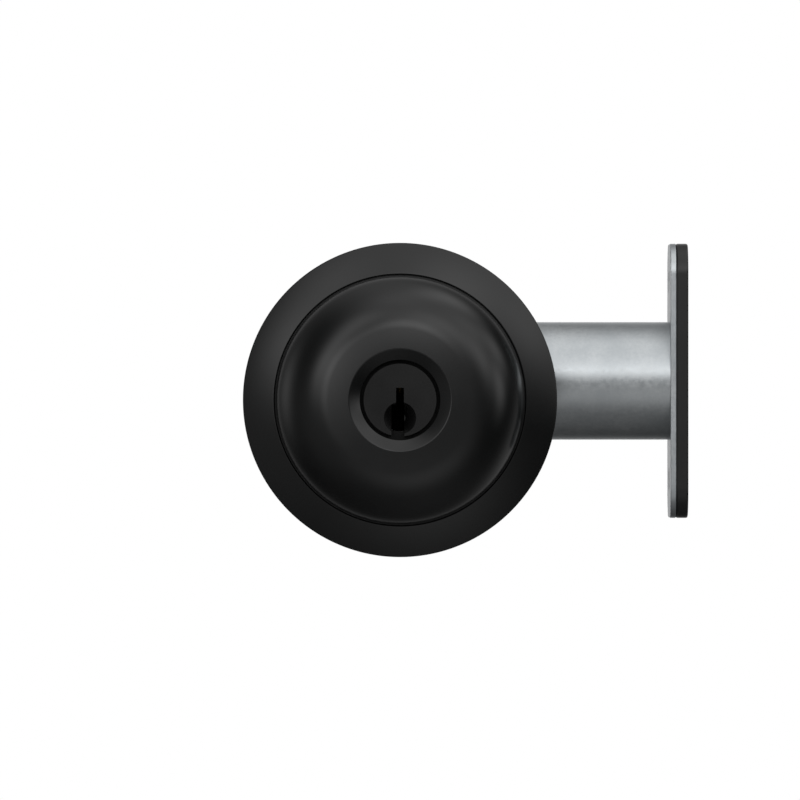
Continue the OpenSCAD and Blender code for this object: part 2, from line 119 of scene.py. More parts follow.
def tidy_mesh(piece, smooth_deg=35):
    """Merges doubles, turns normals outwards, and keeps edges sharp above an angle."""
    shape = bmesh.new()
    shape.from_mesh(piece.data)
    bmesh.ops.remove_doubles(shape, verts=shape.verts, dist=WELD)
    bmesh.ops.recalc_face_normals(shape, faces=shape.faces)
    for face in shape.faces:
        face.smooth = True
    for edge in shape.edges:
        sharp = len(edge.link_faces) == 2 and edge.calc_face_angle(0) > math.radians(smooth_deg)
        edge.smooth = not sharp
    shape.to_mesh(piece.data)
    shape.free()


# %% [markdown]
# ## Finishes
# Everything outside the door wears the same satin black powder coat. The powder melts into a film with a
# very fine orange peel: tiny hills a quarter of a millimetre apart that blur reflections into a satin
# sheen. The film is a dielectric, so it isn't metallic, and its colour is close to soot. The spray doesn't
# reach deep into a narrow gap, so a finish can end at a depth, past which the surface is dull and throws no
# light back.

# %% Powder coat
DULL = 0.95            # roughness where the finish ends
FINISH_END = 0.5 * MM  # how far it takes to end
CLOUD_MM = 9           # slow changes of tone across a piece


def start_material(name):
    """An empty node material and its tree."""
    made = bpy.data.materials.new(name)
    made.use_nodes = True
    made.node_tree.nodes.clear()
    return made, made.node_tree


def finish_material(tree, shader):
    """Joins the shader to the material's output."""
    add_node(tree, "ShaderNodeOutputMaterial", {"Surface": shader.outputs["BSDF"]})


def powder_coat(name, dark, pale, roughness, peel_mm=0.28, peel=0.10, raw_y=None):
    """Black film over fine orange peel; past raw_y, deep inside the piece, the surface is left dull."""
    material, tree = start_material(name)
    place = add_node(tree, "ShaderNodeTexCoord").outputs["Object"]
    hills = add_node(tree, "ShaderNodeTexNoise", {
        "Vector": place, "Scale": 1 / (peel_mm * MM), "Detail": 2.0})
    cloud = add_node(tree, "ShaderNodeTexNoise", {
        "Vector": place, "Scale": 1 / (CLOUD_MM * MM), "Detail": 3.0})
    colour = add_node(tree, "ShaderNodeValToRGB", {"Fac": cloud.outputs["Fac"]})
    for stop, hex_code, position in zip(colour.color_ramp.elements, (dark, pale), (0.3, 0.75)):
        stop.color, stop.position = linear(hex_code), position
    gloss = add_node(tree, "ShaderNodeMapRange", {
        "Value": cloud.outputs["Fac"], "From Min": 0.3, "From Max": 0.7,
        "To Min": roughness - 0.02, "To Max": roughness + 0.03})
    bump = add_node(tree, "ShaderNodeBump", {
        "Height": hills.outputs["Fac"], "Strength": peel, "Distance": 0.02 * MM})
    if raw_y is not None:
        along = add_node(tree, "ShaderNodeSeparateXYZ", {"Vector": place}).outputs["Y"]
        gloss = add_node(tree, "ShaderNodeMapRange", {
            "Value": along, "From Min": raw_y, "From Max": raw_y + FINISH_END,
            "To Min": gloss.outputs["Result"], "To Max": DULL})
    shader = add_node(tree, "ShaderNodeBsdfPrincipled", {
        "Base Color": colour.outputs["Color"], "Roughness": gloss.outputs["Result"],
        "Normal": bump.outputs["Normal"], "Metallic": 0.0, "IOR": 1.5})
    finish_material(tree, shader)
    return material


PLATED_DEPTH = 2.5 * MM
# Thick and even on castings, coarser on stamped plate, and thin as plating on the plug
black_coat = powder_coat("black powder coat on zinc", "#050606", "#080909", 0.20, peel=0.04)
black_plate = powder_coat("black powder coat on steel", "#080909", "#0c0c0d", 0.32, peel_mm=0.35, peel=0.10)
black_plug = powder_coat("black satin plating on brass", "#050505", "#080808", 0.20, peel_mm=0.18, peel=0.03,
                         raw_y=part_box("plug")[0].y + PLATED_DEPTH)

# %% [markdown]
# ## Bare metals
# The working pieces inside the door are never painted in the real lock. One recipe covers them: a metallic
# shader whose roughness and bump follow a pattern of the size that the making leaves behind. Ground steel has
# long fine lines, a die casting has a soft grain, and zinc plating has crystals called spangle. Real grinding
# lines are finer than these, which are drawn as coarse as they need to be to show. The front of the
# cylinder's snout lies in shade behind the gap round the plug, so its first millimetre is painted black and
# dull as painted shade.

# %% Metals
TARNISH_MM = 6
# Painted shade: the black that stands in for the shade on the snout's front behind the gap round the plug
SHADE_BLACK = "#020202"


def metal(name, dark, pale, roughness, grain_mm, stretch=(1, 1, 1), spread=0.08, relief=0.08, painted_shade_y=None):
    """Metal with a grain of grain_mm, drawn out where stretch is small, and painted black and dull as shade
    in front of a given depth.
    """
    material, tree = start_material(name)
    place = add_node(tree, "ShaderNodeTexCoord").outputs["Object"]
    drawn = add_node(tree, "ShaderNodeMapping", {"Vector": place, "Scale": stretch})
    grain = add_node(tree, "ShaderNodeTexNoise", {
        "Vector": drawn.outputs["Vector"], "Scale": 1 / (grain_mm * MM), "Detail": 4.0, "Roughness": 0.6})
    tarnish = add_node(tree, "ShaderNodeTexNoise", {
        "Vector": place, "Scale": 1 / (TARNISH_MM * MM), "Detail": 3.0})
    both = add_node(tree, "ShaderNodeMath", {
        0: grain.outputs["Fac"], 1: tarnish.outputs["Fac"]}, operation="MULTIPLY")
    colour = add_node(tree, "ShaderNodeValToRGB", {"Fac": both.outputs["Value"]})
    for stop, hex_code, position in zip(colour.color_ramp.elements, (dark, pale), (0.12, 0.42)):
        stop.color, stop.position = linear(hex_code), position
    gloss = add_node(tree, "ShaderNodeMapRange", {
        "Value": grain.outputs["Fac"], "From Min": 0.3, "From Max": 0.7,
        "To Min": roughness - spread, "To Max": roughness + spread})
    bump = add_node(tree, "ShaderNodeBump", {
        "Height": grain.outputs["Fac"], "Strength": relief, "Distance": 0.03 * MM})
    base, bare = colour.outputs["Color"], 1.0
    # Painted shade: in front of the given depth the metal turns black, dull and non-metallic, standing in for
    # the shade in the gap round the plug
    if painted_shade_y is not None:
        along = add_node(tree, "ShaderNodeSeparateXYZ", {"Vector": place}).outputs["Y"]
        bare = add_node(tree, "ShaderNodeMapRange", {
            "Value": along, "From Min": painted_shade_y, "From Max": painted_shade_y + FINISH_END}).outputs["Result"]
        # A Mix node has a set of sockets for each kind of value: 6, 7 and output 2 are the colours
        base = add_node(tree, "ShaderNodeMix", {"Factor": bare, 6: linear(SHADE_BLACK), 7: base},
                        data_type="RGBA").outputs[2]
        gloss = add_node(tree, "ShaderNodeMapRange", {
            "Value": bare, "To Min": DULL, "To Max": gloss.outputs["Result"]})
    shader = add_node(tree, "ShaderNodeBsdfPrincipled", {
        "Base Color": base, "Roughness": gloss.outputs["Result"],
        "Normal": bump.outputs["Normal"], "Metallic": bare})
    finish_material(tree, shader)
    return material


ALONG_X = (0.04, 1, 1)
ALONG_Y = (1, 0.04, 1)
ALONG_Z = (1, 1, 0.05)
# The painted shade ends a millimetre behind the snout's front
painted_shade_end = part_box("cylinder_housing")[0].y + 1.0 * MM
# A casting is grey and soft, with no lines; plated sheet is paler, and even
# The snout's front wears the painted shade
zinc_casting = metal("die-cast zinc", "#979b9d", "#a9adae", 0.44, 0.30, spread=0.05, relief=0.12,
                     painted_shade_y=painted_shade_end)
zinc_plate = metal("zinc-plated sheet steel", "#b3b8bb", "#c6cacc", 0.34, 0.8, spread=0.06, relief=0.04)
# Passivated zinc is straw yellow and uneven; ground and turned pieces shine in lines
yellow_zinc = metal("yellow passivated zinc", "#9a8455", "#c9b278", 0.32, 0.8, spread=0.09, relief=0.05)
ground_steel = metal("ground nickel-plated steel", "#c3c5c6", "#d6d7d6", 0.27, 0.14, stretch=ALONG_X,
                     spread=0.04, relief=0.05)
bright_steel = metal("satin steel", "#a9adb0", "#bfc2c4", 0.34, 0.16, stretch=ALONG_Y,
                     spread=0.05, relief=0.05)
# Heat leaves hardened steel dark; drawn wire is the brightest of all
# The drill pins' front ends wear the same painted shade as the snout
hard_steel = metal("hardened steel", "#5f6367", "#85898d", 0.30, 0.2, relief=0.05, painted_shade_y=painted_shade_end)
spring_steel = metal("drawn spring wire", "#b0b3b5", "#d9dbdc", 0.22, 0.3, relief=0.03)
turned_brass = metal("turned brass", "#a8813b", "#d3ad60", 0.27, 0.12, stretch=ALONG_Z, relief=0.06)
nickel_silver = metal("turned nickel silver", "#a4a39d", "#cbc9c2", 0.27, 0.12, stretch=ALONG_Z, relief=0.06)

# %% [markdown]
# Nylon is a plastic that lets a little light in, so its edges look soft. The natural kind is the colour of
# candle wax. The bore collar is moulded in black. A trace of subsurface scattering is enough.

# %% Nylon
MOULD_GRAIN_MM = 0.4


def nylon(name, hex_code, roughness, glow):
    """Moulded nylon with the mould's fine grain; glow is how much light wanders inside it."""
    material, tree = start_material(name)
    place = add_node(tree, "ShaderNodeTexCoord").outputs["Object"]
    skin = add_node(tree, "ShaderNodeTexNoise", {
        "Vector": place, "Scale": 1 / (MOULD_GRAIN_MM * MM), "Detail": 3.0})
    gloss = add_node(tree, "ShaderNodeMapRange", {
        "Value": skin.outputs["Fac"], "To Min": roughness - 0.05, "To Max": roughness + 0.08})
    bump = add_node(tree, "ShaderNodeBump", {
        "Height": skin.outputs["Fac"], "Strength": 0.12, "Distance": 0.02 * MM})
    shader = add_node(tree, "ShaderNodeBsdfPrincipled", {
        "Base Color": linear(hex_code), "Roughness": gloss.outputs["Result"],
        "Normal": bump.outputs["Normal"], "IOR": 1.53,
        "Subsurface Weight": glow, "Subsurface Scale": 0.6 * MM})
    finish_material(tree, shader)
    return material


natural_nylon = nylon("natural nylon", "#e2ddcf", 0.42, 0.15)
black_nylon = nylon("black nylon", "#1d1e20", 0.48, 0.0)

# %% [markdown]
# Each node's material slot in the record maps to one finish, so the CAD solids that stay get theirs in one
# loop, and the rebuilt pieces take the same finish later.

# %% Finish of each slot
FINISHES = {
    "black_coat": black_coat, "black_plug": black_plug, "black_plate": black_plate,
    "hard_steel": hard_steel, "zinc_casting": zinc_casting, "zinc_plate": zinc_plate,
    "yellow_zinc": yellow_zinc, "bolt_steel": ground_steel, "bright_steel": bright_steel,
    "spring_steel": spring_steel, "screw_steel": bright_steel, "brass": turned_brass,
    "nickel_pins": nickel_silver, "nylon_white": natural_nylon, "nylon_black": black_nylon,
}
slot_of = {row["node"]: row["material_slot"] for row in frame["record"]["subparts"]}
body_of = {node: body for body, nodes in frame["record"]["behaviour"]["bodies"].items() for node in nodes}
for node_name, cad_object in frame["nodes"].items():
    cad_object.data.materials.clear()
    cad_object.data.materials.append(FINISHES[slot_of[node_name]])
print("slots:", sorted(set(slot_of.values())))


def stand_for(piece, node_name):
    """The piece takes over a CAD node: its body, its slot and its finish."""
    if not piece.data.materials:
        piece.data.materials.append(FINISHES[slot_of[node_name]])
    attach(piece, body_of[node_name])
    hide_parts(node_name)
    print(f"{piece.name}: {len(piece.data.polygons)} faces for {node_name}")
    return piece


# %% [markdown]
# ## Turned shapes
# The trim ring, the guard and the rose are round, so each is one outline swept about the key's axis. A
# sharp corner never catches the light as a real casting's does, so every corner carries a fillet radius,
# and the helper swaps it for a short arc before the outline is swept.

# %% Outlines and sweeping
ARC_SHARE = 0.48  # the most of a side that one corner's arc may take


def filleted(corners, steps=6):
    """corners are (radius, height, fillet) in mm, in order round a closed outline."""
    outline = []
    count = len(corners)
    for i, (r, h, fillet) in enumerate(corners):
        here = Vector((r, h))
        before = Vector(corners[i - 1][:2]) - here
        after = Vector(corners[(i + 1) % count][:2]) - here
        if not fillet:
            outline.append(here)
            continue
        half = before.angle(after) / 2
        reach = min(fillet / math.tan(half), before.length * ARC_SHARE, after.length * ARC_SHARE)
        radius = reach * math.tan(half)
        centre = here + (before.normalized() + after.normalized()).normalized() * radius / math.sin(half)
        start = here + before.normalized() * reach - centre
        end = here + after.normalized() * reach - centre
        turn = start.angle_signed(end)
        outline += [centre + Matrix.Rotation(-turn * k / steps, 2) @ start for k in range(steps + 1)]
    return outline


def turned(name, outline, facing, base_y, steps=192, smooth_deg=35):
    """An outline of (radius, height) in mm swept about the key's axis; facing is -1 outwards, 1 inwards."""
    verts = []
    for k in range(steps):
        turn = 2 * math.pi * k / steps
        verts += [(p[0] * MM * math.cos(turn), base_y + facing * p[1] * MM, p[0] * MM * math.sin(turn))
                  for p in outline]
    n = len(outline)
    faces = [(k * n + i, k * n + (i + 1) % n, (k + 1) % steps * n + (i + 1) % n, (k + 1) % steps * n + i)
             for k in range(steps) for i in range(n)]
    return object_from(name, verts, faces, smooth_deg)


# %% [markdown]
# ## Trim ring
# A die-cast ring that hides the edge of the bore. Its face is a plain cone, with a crisp outer rim and a
# small round where it dips to the guard. The back is stepped to seat the cylinder's flange and to hold the
# guard's lip.

# %% Trim ring
ring_r = ring_high.x / MM
ring_h = -ring_low.y / MM
guard_low, guard_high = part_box("guard")
GUARD_R = 25.6
RING_GAP = 0.3
RING_EDGE = 2.2
lip_r = guard_high.x / MM
flange_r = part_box("cylinder_housing")[1].x / MM
FLANGE_T = 2.0
LIP_TOP = 3.3
SLACK = 0.2  # between pieces that pass each other
CLEAR = 0.3  # between pieces that turn past each other
ring_in = GUARD_R + RING_GAP
trim_ring = turned("trim_ring_piece", filleted([
    (flange_r + SLACK, 0, 0), (ring_r, 0, 0.15), (ring_r, RING_EDGE, 0.35),
    (ring_in, ring_h, 0.25), (ring_in, LIP_TOP + SLACK, 0),
    (lip_r + CLEAR, LIP_TOP + SLACK, 0), (lip_r + CLEAR, FLANGE_T, 0), (flange_r + SLACK, FLANGE_T, 0),
]), -1, 0)
stand_for(trim_ring, "trim_ring")

# %% [markdown]
# ## Guard
# The guard is a hollow cap: a straight skirt, one large round shoulder, a nearly flat face, and a dish that
# leads down to the plug. The shoulder is a true arc that meets the face without a kink, because a dome
# shows every kink in its reflection. The dish's rim keeps a tight round that draws a thin line of light.

# %% Guard
guard_h = -guard_low.y / MM
lip_low = -guard_high.y / MM
DISH_R = 10.5
FACE_W = 4.15
FACE_SLOPE = math.radians(5)
DISH_SLOPE = math.radians(30)
FACE_BORE = 8.2
WALL = 2.4
BRIDGE_T = 1.8
INSERT_T = 2.0
LIP_T = 0.6
SHOULDER_STEPS = 40
INNER_STEPS = 16
shoulder_r = (GUARD_R - DISH_R - FACE_W) / (1 - math.sin(FACE_SLOPE))
shoulder_at = GUARD_R - shoulder_r
skirt_h = guard_h - shoulder_r * math.cos(FACE_SLOPE) - FACE_W * math.tan(FACE_SLOPE)
face_top = guard_h - (DISH_R - FACE_BORE) * math.tan(DISH_SLOPE)
ceiling = face_top - BRIDGE_T
insert_low = ceiling - INSERT_T
insert_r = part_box("guard_insert")[1].x / MM


def shoulder(radius, low_angle, high_angle, steps):
    """Points of an arc about the shoulder's centre, by slope angle, from the skirt inwards."""
    angles = [high_angle + (low_angle - high_angle) * k / steps for k in range(steps + 1)]
    return [(shoulder_at + radius * math.sin(a), skirt_h + radius * math.cos(a), 0) for a in angles]


inner_arc_r = shoulder_r - WALL
inner_end = math.acos((insert_low - skirt_h) / inner_arc_r)
guard = turned("guard_piece", filleted(
    [(GUARD_R - WALL, lip_low, 0), (lip_r, lip_low, 0.1), (lip_r, lip_low + LIP_T, 0.1),
     (GUARD_R, lip_low + LIP_T, 0)]
    + shoulder(shoulder_r, FACE_SLOPE, math.radians(90), SHOULDER_STEPS)
    + [(DISH_R, guard_h, 0.45), (FACE_BORE, face_top, 0.2), (FACE_BORE, ceiling, 0), (insert_r, ceiling, 0),
       (insert_r, insert_low, 0)]
    + shoulder(inner_arc_r, inner_end, math.radians(90), INNER_STEPS)[::-1]), -1, 0, steps=256)
stand_for(guard, "guard")

# %% [markdown]
# ## Inside rose
# The inside trim repeats the ring's slope on a taller wall, and snaps over the steel plate. It is a shell,
# so the outline goes up the outside and back down the inside at one wall's distance.

# %% Inside rose
rose_low, rose_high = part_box("inner_rose")
inner_face = rose_low.y
rose_r = rose_high.x / MM
rose_h = (rose_high.y - rose_low.y) / MM
ROSE_EDGE = 4.6
ROSE_WALL = 1.5
ROSE_TOP_R = 18.0
BUSH_R = 7.0
rose_top_in = rose_h - ROSE_WALL
slope_drop = ROSE_WALL * math.tan(math.atan2(rose_h - ROSE_EDGE, rose_r - ROSE_TOP_R) / 2)
inner_rose = turned("inner_rose_piece", filleted([
    (rose_r, 0, 0.2), (rose_r, ROSE_EDGE, 1.2), (ROSE_TOP_R, rose_h, 3.0), (BUSH_R, rose_h, 0.2),
    (BUSH_R, rose_top_in, 0), (ROSE_TOP_R - slope_drop, rose_top_in, 0.8),
    (rose_r - ROSE_WALL, ROSE_EDGE - slope_drop, 0.5), (rose_r - ROSE_WALL, 0, 0),
], steps=8), 1, inner_face)
stand_for(inner_rose, "inner_rose")

# %% [markdown]
# ## Thumb turn
# The turn starts as a round collar and flows into a flat paddle for finger and thumb. That is a loft: a
# stack of rounded outlines whose half width, half thickness and squareness change with height. A
# superellipse gives every outline with one formula, from a circle to nearly a box.

# %% Thumb turn
turn_low, turn_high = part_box("thumbturn")
turn_h = (turn_high.y - turn_low.y) / MM
turn_half = (turn_high.z - turn_low.z) / 2 / MM
COLLAR_R = 11.0
PADDLE_HALF_T = 4.3
CROWN_R = 2.6  # round of the paddle's free edge
ROLL_IN = 0.4
NECK_IN = 1.2
BOXINESS = 1.6
LOFT_SIDES = 96
LAYERS = 34
# The height at which each change of section starts and the height that it takes, in mm
ROLL, NECK, THIN, FLARE = (0, 2.0), (0, 3.5), (1.5, 5.5), (4.0, 7.5)


def eased(h, change):
    """0 to 1 over a change of section, with a slow start and a slow end."""
    start, span = change
    t = min(1.0, max(0.0, (h - start) / span))
    return t * t * (3 - 2 * t)


def turn_section(h):
    """Half width along the paddle, half thickness and squareness at a height above the rose, in mm."""
    thinning = eased(h, THIN)
    half_w = COLLAR_R - NECK_IN * eased(h, NECK) + (turn_half - COLLAR_R + NECK_IN) * eased(h, FLARE)
    half_t = COLLAR_R - ROLL_IN * eased(h, ROLL) - (COLLAR_R - ROLL_IN - PADDLE_HALF_T) * thinning
    crown = max(0.0, (h - (turn_h - CROWN_R)) / CROWN_R)
    shrink = CROWN_R * (1 - math.sqrt(max(0.0, 1 - crown * crown)))
    return half_w - shrink, half_t - shrink * 0.9, 2 + BOXINESS * thinning


def superellipse(half_w, half_t, square):
    """One outline of the loft; square is 2 for an ellipse and grows towards a box."""
    points = []
    for k in range(LOFT_SIDES):
        turn = 2 * math.pi * k / LOFT_SIDES
        c, s = math.cos(turn), math.sin(turn)
        points.append((math.copysign(abs(c) ** (2 / square), c) * half_t,
                       math.copysign(abs(s) ** (2 / square), s) * half_w))
    return points


SOCKET_R = 5.5
SOCKET_H = 3.8
heights = [turn_h * k / LAYERS for k in range(LAYERS - 3)]
crown_degrees = (0, 18, 34, 48, 60, 70, 78, 84, 88, 90)
heights += [turn_h - CROWN_R * (1 - math.sin(math.radians(a))) for a in crown_degrees]
heights = sorted(set(round(h, 4) for h in heights))
rings = [[(x, h, z) for x, z in superellipse(*turn_section(h))] for h in heights]
socket = [[(x, h, z) for x, z in superellipse(SOCKET_R, SOCKET_R, 2)] for h in (SOCKET_H, 0)]
rings = socket + rings
verts = [(x * MM, turn_low.y + h * MM, z * MM) for ring in rings for x, h, z in ring]
faces = [(j * LOFT_SIDES + k, j * LOFT_SIDES + (k + 1) % LOFT_SIDES,
          (j + 1) * LOFT_SIDES + (k + 1) % LOFT_SIDES, (j + 1) * LOFT_SIDES + k)
         for j in range(len(rings) - 1) for k in range(LOFT_SIDES)]
faces += [tuple(range(LOFT_SIDES)), tuple((len(rings) - 1) * LOFT_SIDES + k for k in range(LOFT_SIDES))]
thumbturn = object_from("thumbturn_piece", verts, faces, smooth_deg=50)
stand_for(thumbturn, "thumbturn")

# %% [markdown]
# ## What repeats: Geometry Nodes
# Springs, screw threads and crush ribs repeat along a line or round a circle. Each is a small node tree
# with named inputs, so a size can be tried by changing one number. The result is turned into a plain mesh,
# because an exported model holds no live instances.

# %% Geometry Nodes helpers
def start_tree(name, sizes):
    """A tree with one float input per size, its group input and output nodes."""
    tree = bpy.data.node_groups.new(name, "GeometryNodeTree")
    for label, value in sizes.items():
        kind = "NodeSocketInt" if isinstance(value, int) else "NodeSocketFloat"
        tree.interface.new_socket(label, in_out="INPUT", socket_type=kind)
    tree.interface.new_socket("Geometry", in_out="OUTPUT", socket_type="NodeSocketGeometry")
    return tree, add_node(tree, "NodeGroupInput").outputs


def finished_piece(name, tree, geometry, sizes, material, smooth_deg=40):
    """Ends the tree, runs it on an empty mesh with the given sizes, and keeps the result as a plain mesh."""
    solid = add_node(tree, "GeometryNodeRealizeInstances", {"Geometry": geometry})
    coated = add_node(tree, "GeometryNodeSetMaterial", {
        "Geometry": solid.outputs["Geometry"], "Material": material})
    add_node(tree, "NodeGroupOutput", {"Geometry": coated.outputs["Geometry"]})
    holder = bpy.data.objects.new(name + "_tree", bpy.data.meshes.new(name + "_tree"))
    bpy.context.scene.collection.objects.link(holder)
    modifier = holder.modifiers.new("tree", "NODES")
    modifier.node_group = tree
    for item in tree.interface.items_tree:
        if item.in_out == "INPUT" and item.name in sizes:
            modifier[item.identifier] = sizes[item.name]
    bpy.context.view_layer.update()
    graph = bpy.context.evaluated_depsgraph_get()
    mesh = bpy.data.meshes.new_from_object(holder.evaluated_get(graph))
    bpy.data.objects.remove(holder)
    piece = bpy.data.objects.new(name, mesh)
    bpy.context.scene.collection.objects.link(piece)
    tidy_mesh(piece, smooth_deg)
    return piece


# %% [markdown]
# ## Pin springs
# Five coil springs of bright drawn wire press the pins down. A coil is a spiral of constant radius with a
# circle swept along it. The spiral climbs along Z already, which is the way the pins stand, and a line of
# five points carries the copies from the front pin to the rear one.

# %% Pin springs
spring_low, spring_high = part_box("pin_springs")
PIN_COUNT = 5
PIN_PITCH = 3.97 * MM
WIRE_R = 0.16 * MM
coil_r = (spring_high.x - spring_low.x) / 2 - WIRE_R
spring_sizes = {"Coil radius": coil_r, "Wire radius": WIRE_R, "Turns": 7.0,
                "Height": spring_high.z - spring_low.z - 2 * WIRE_R, "Pitch": PIN_PITCH, "Count": PIN_COUNT}
tree, size = start_tree("coil springs", spring_sizes)
helix = add_node(tree, "GeometryNodeCurveSpiral", {
    "Resolution": 20, "Rotations": size["Turns"], "Start Radius": size["Coil radius"],
    "End Radius": size["Coil radius"], "Height": size["Height"]})
wire = add_node(tree, "GeometryNodeCurvePrimitiveCircle", {"Resolution": 8, "Radius": size["Wire radius"]})
coil = add_node(tree, "GeometryNodeCurveToMesh", {
    "Curve": helix.outputs["Curve"], "Profile Curve": wire.outputs["Curve"], "Fill Caps": True})
step = add_node(tree, "ShaderNodeCombineXYZ", {"Y": size["Pitch"]})
row = add_node(tree, "GeometryNodeMeshLine", {
    "Count": size["Count"], "Offset": step.outputs["Vector"],
    "Start Location": (0, (spring_low.y + spring_high.y) / 2 - PIN_PITCH * (PIN_COUNT - 1) / 2,
                       spring_low.z + WIRE_R)})
coils = add_node(tree, "GeometryNodeInstanceOnPoints", {
    "Points": row.outputs["Mesh"], "Instance": coil.outputs["Mesh"]})
springs = finished_piece("pin_springs_piece", tree, coils.outputs["Instances"],
                         spring_sizes, spring_steel, smooth_deg=80)
stand_for(springs, "pin_springs")

# %% [markdown]
# ## Mounting screws
# Two machine screws pull the plate and the cylinder together through the door. The thread is a square on
# its corner, half sunk in a plain core and swept along a spiral, 32 turns to the inch. A swept outline
# twists slowly on its way unless the curve's normals are held level, so they are set first, and every
# crest then points outwards.
# The pan head is a turned outline, so it is made once in mesh code and handed to the tree as an object,
# with its cross recess already cut.

# %% Screw head
screw_low, screw_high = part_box("mounting_screws")
SCREW_PITCH = 25.4 / 32
SCREW_R = 2.0
HEAD_R = 4.0
HEAD_H = 2.4
RECESS_W = 4.4
RECESS_T = 0.9
RECESS_H = 2.8
screw_gap = (screw_high.z - screw_low.z) - 2 * HEAD_R * MM
head_base = screw_high.y - HEAD_H * MM
screw_head = turned("screw_head", filleted([
    (0.001, 0, 0), (HEAD_R, 0, 0.15), (HEAD_R, HEAD_H * 0.45, 0.9), (HEAD_R * 0.62, HEAD_H * 0.96, 1.2),
    (0.001, HEAD_H, 0)]), 1, head_base, steps=64)
slots = []
for across in ((RECESS_W, RECESS_T), (RECESS_T, RECESS_W)):
    bpy.ops.mesh.primitive_cube_add(size=1)
    slot = bpy.context.object
    slot.data.transform(Matrix.Diagonal((across[0] * MM, RECESS_H * MM, across[1] * MM, 1)))
    slot.data.transform(Matrix.Translation((0, screw_high.y, 0)))
    cutting = screw_head.modifiers.new("slot", "BOOLEAN")
    cutting.object = slot
    cutting.operation = "DIFFERENCE"
    cutting.solver = "EXACT"
    slots.append(slot)
bpy.context.view_layer.update()
cut_mesh = bpy.data.meshes.new_from_object(screw_head.evaluated_get(bpy.context.evaluated_depsgraph_get()))
screw_head.modifiers.clear()
screw_head.data = cut_mesh
for slot in slots:
    bpy.data.objects.remove(slot)
tidy_mesh(screw_head)

# %% Screws
shank_len = head_base - screw_low.y
THREAD_DEPTH = 0.42 * MM
PLAIN_END = 0.6 * MM  # the thread stops this far from each end of the shank
screw_sizes = {"Length": shank_len, "Core radius": SCREW_R * MM - THREAD_DEPTH, "Depth": THREAD_DEPTH,
               "Turns": (shank_len - 2 * PLAIN_END) / (SCREW_PITCH * MM)}
tree, size = start_tree("threaded screws", screw_sizes)
core = add_node(tree, "GeometryNodeMeshCylinder", {
    "Vertices": 32, "Radius": size["Core radius"], "Depth": size["Length"]})
half_up = add_node(tree, "ShaderNodeMath", {0: size["Length"], 1: 0.5}, operation="MULTIPLY")
lift = add_node(tree, "ShaderNodeCombineXYZ", {"Z": half_up.outputs["Value"]})
core_up = add_node(tree, "GeometryNodeTransform", {
    "Geometry": core.outputs["Mesh"], "Translation": lift.outputs["Vector"]})
thread_len = add_node(tree, "ShaderNodeMath", {0: size["Length"], 1: 2 * PLAIN_END}, operation="SUBTRACT")
helix = add_node(tree, "GeometryNodeCurveSpiral", {
    "Resolution": 24, "Rotations": size["Turns"], "Start Radius": size["Core radius"],
    "End Radius": size["Core radius"], "Height": thread_len.outputs["Value"]})
upright = add_node(tree, "GeometryNodeSetCurveNormal", {"Curve": helix.outputs["Curve"]}, mode="Z_UP")
ridge = add_node(tree, "GeometryNodeCurvePrimitiveCircle", {"Resolution": 4, "Radius": size["Depth"]})
thread = add_node(tree, "GeometryNodeCurveToMesh", {
    "Curve": upright.outputs["Curve"], "Profile Curve": ridge.outputs["Curve"], "Fill Caps": True})
thread_up = add_node(tree, "GeometryNodeTransform", {
    "Geometry": thread.outputs["Mesh"], "Translation": (0, 0, PLAIN_END)})
shank = add_node(tree, "GeometryNodeJoinGeometry")
for part in (core_up, thread_up):
    tree.links.new(part.outputs["Geometry"], shank.inputs["Geometry"])
laid = add_node(tree, "GeometryNodeTransform", {
    "Geometry": shank.outputs["Geometry"], "Rotation": (math.radians(-90), 0, 0),
    "Translation": (0, screw_low.y, 0)})
head = add_node(tree, "GeometryNodeObjectInfo", {"Object": screw_head}, transform_space="ORIGINAL")
whole = add_node(tree, "GeometryNodeJoinGeometry")
for part in (laid, head):
    tree.links.new(part.outputs["Geometry"], whole.inputs["Geometry"])
pair = add_node(tree, "GeometryNodeMeshLine", {
    "Count": 2, "Start Location": (0, 0, screw_low.z + HEAD_R * MM), "Offset": (0, 0, screw_gap)})
screws = add_node(tree, "GeometryNodeInstanceOnPoints", {
    "Points": pair.outputs["Mesh"], "Instance": whole.outputs["Geometry"]})
screw_piece = finished_piece("mounting_screws_piece", tree, screws.outputs["Instances"],
                             screw_sizes, bright_steel)
bpy.data.objects.remove(screw_head)
stand_for(screw_piece, "mounting_screws")

# %% [markdown]
# ## Bore collar
# The black nylon collar has crush ribs round its outside, which give way as it is pushed into the bore.
# The ring is turned, and the ribs are copies of one small half-round bar placed on a circle of points.

# %% Bore collar
collar_low, collar_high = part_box("bore_adapter")
collar_r = (collar_high.x - collar_low.x) / 2
collar_mid_z = (collar_high.z + collar_low.z) / 2
collar_w = collar_high.y - collar_low.y
RIB_R = 0.45 * MM
COLLAR_WALL = 2.6
collar_sizes = {"Ribs": 24, "Rib circle": collar_r - RIB_R, "Rib radius": RIB_R,
                "Rib length": collar_w - 1.6 * MM}
collar_in, collar_out, collar_h = collar_r / MM - COLLAR_WALL, (collar_r - RIB_R) / MM, collar_w / MM
collar_ring = turned("collar_ring", filleted([
    (collar_in, 0, 0.2), (collar_out, 0, 0.3), (collar_out, collar_h, 0.3), (collar_in, collar_h, 0.2),
], steps=4), 1, collar_low.y, steps=144)
collar_ring.data.transform(Matrix.Translation((0, 0, collar_mid_z)))
tree, size = start_tree("crush ribs", collar_sizes)
circle = add_node(tree, "GeometryNodeMeshCircle", {"Vertices": size["Ribs"], "Radius": size["Rib circle"]})
rib = add_node(tree, "GeometryNodeMeshCylinder", {
    "Vertices": 12, "Radius": size["Rib radius"], "Depth": size["Rib length"]})
ribs = add_node(tree, "GeometryNodeInstanceOnPoints", {
    "Points": circle.outputs["Mesh"], "Instance": rib.outputs["Mesh"]})
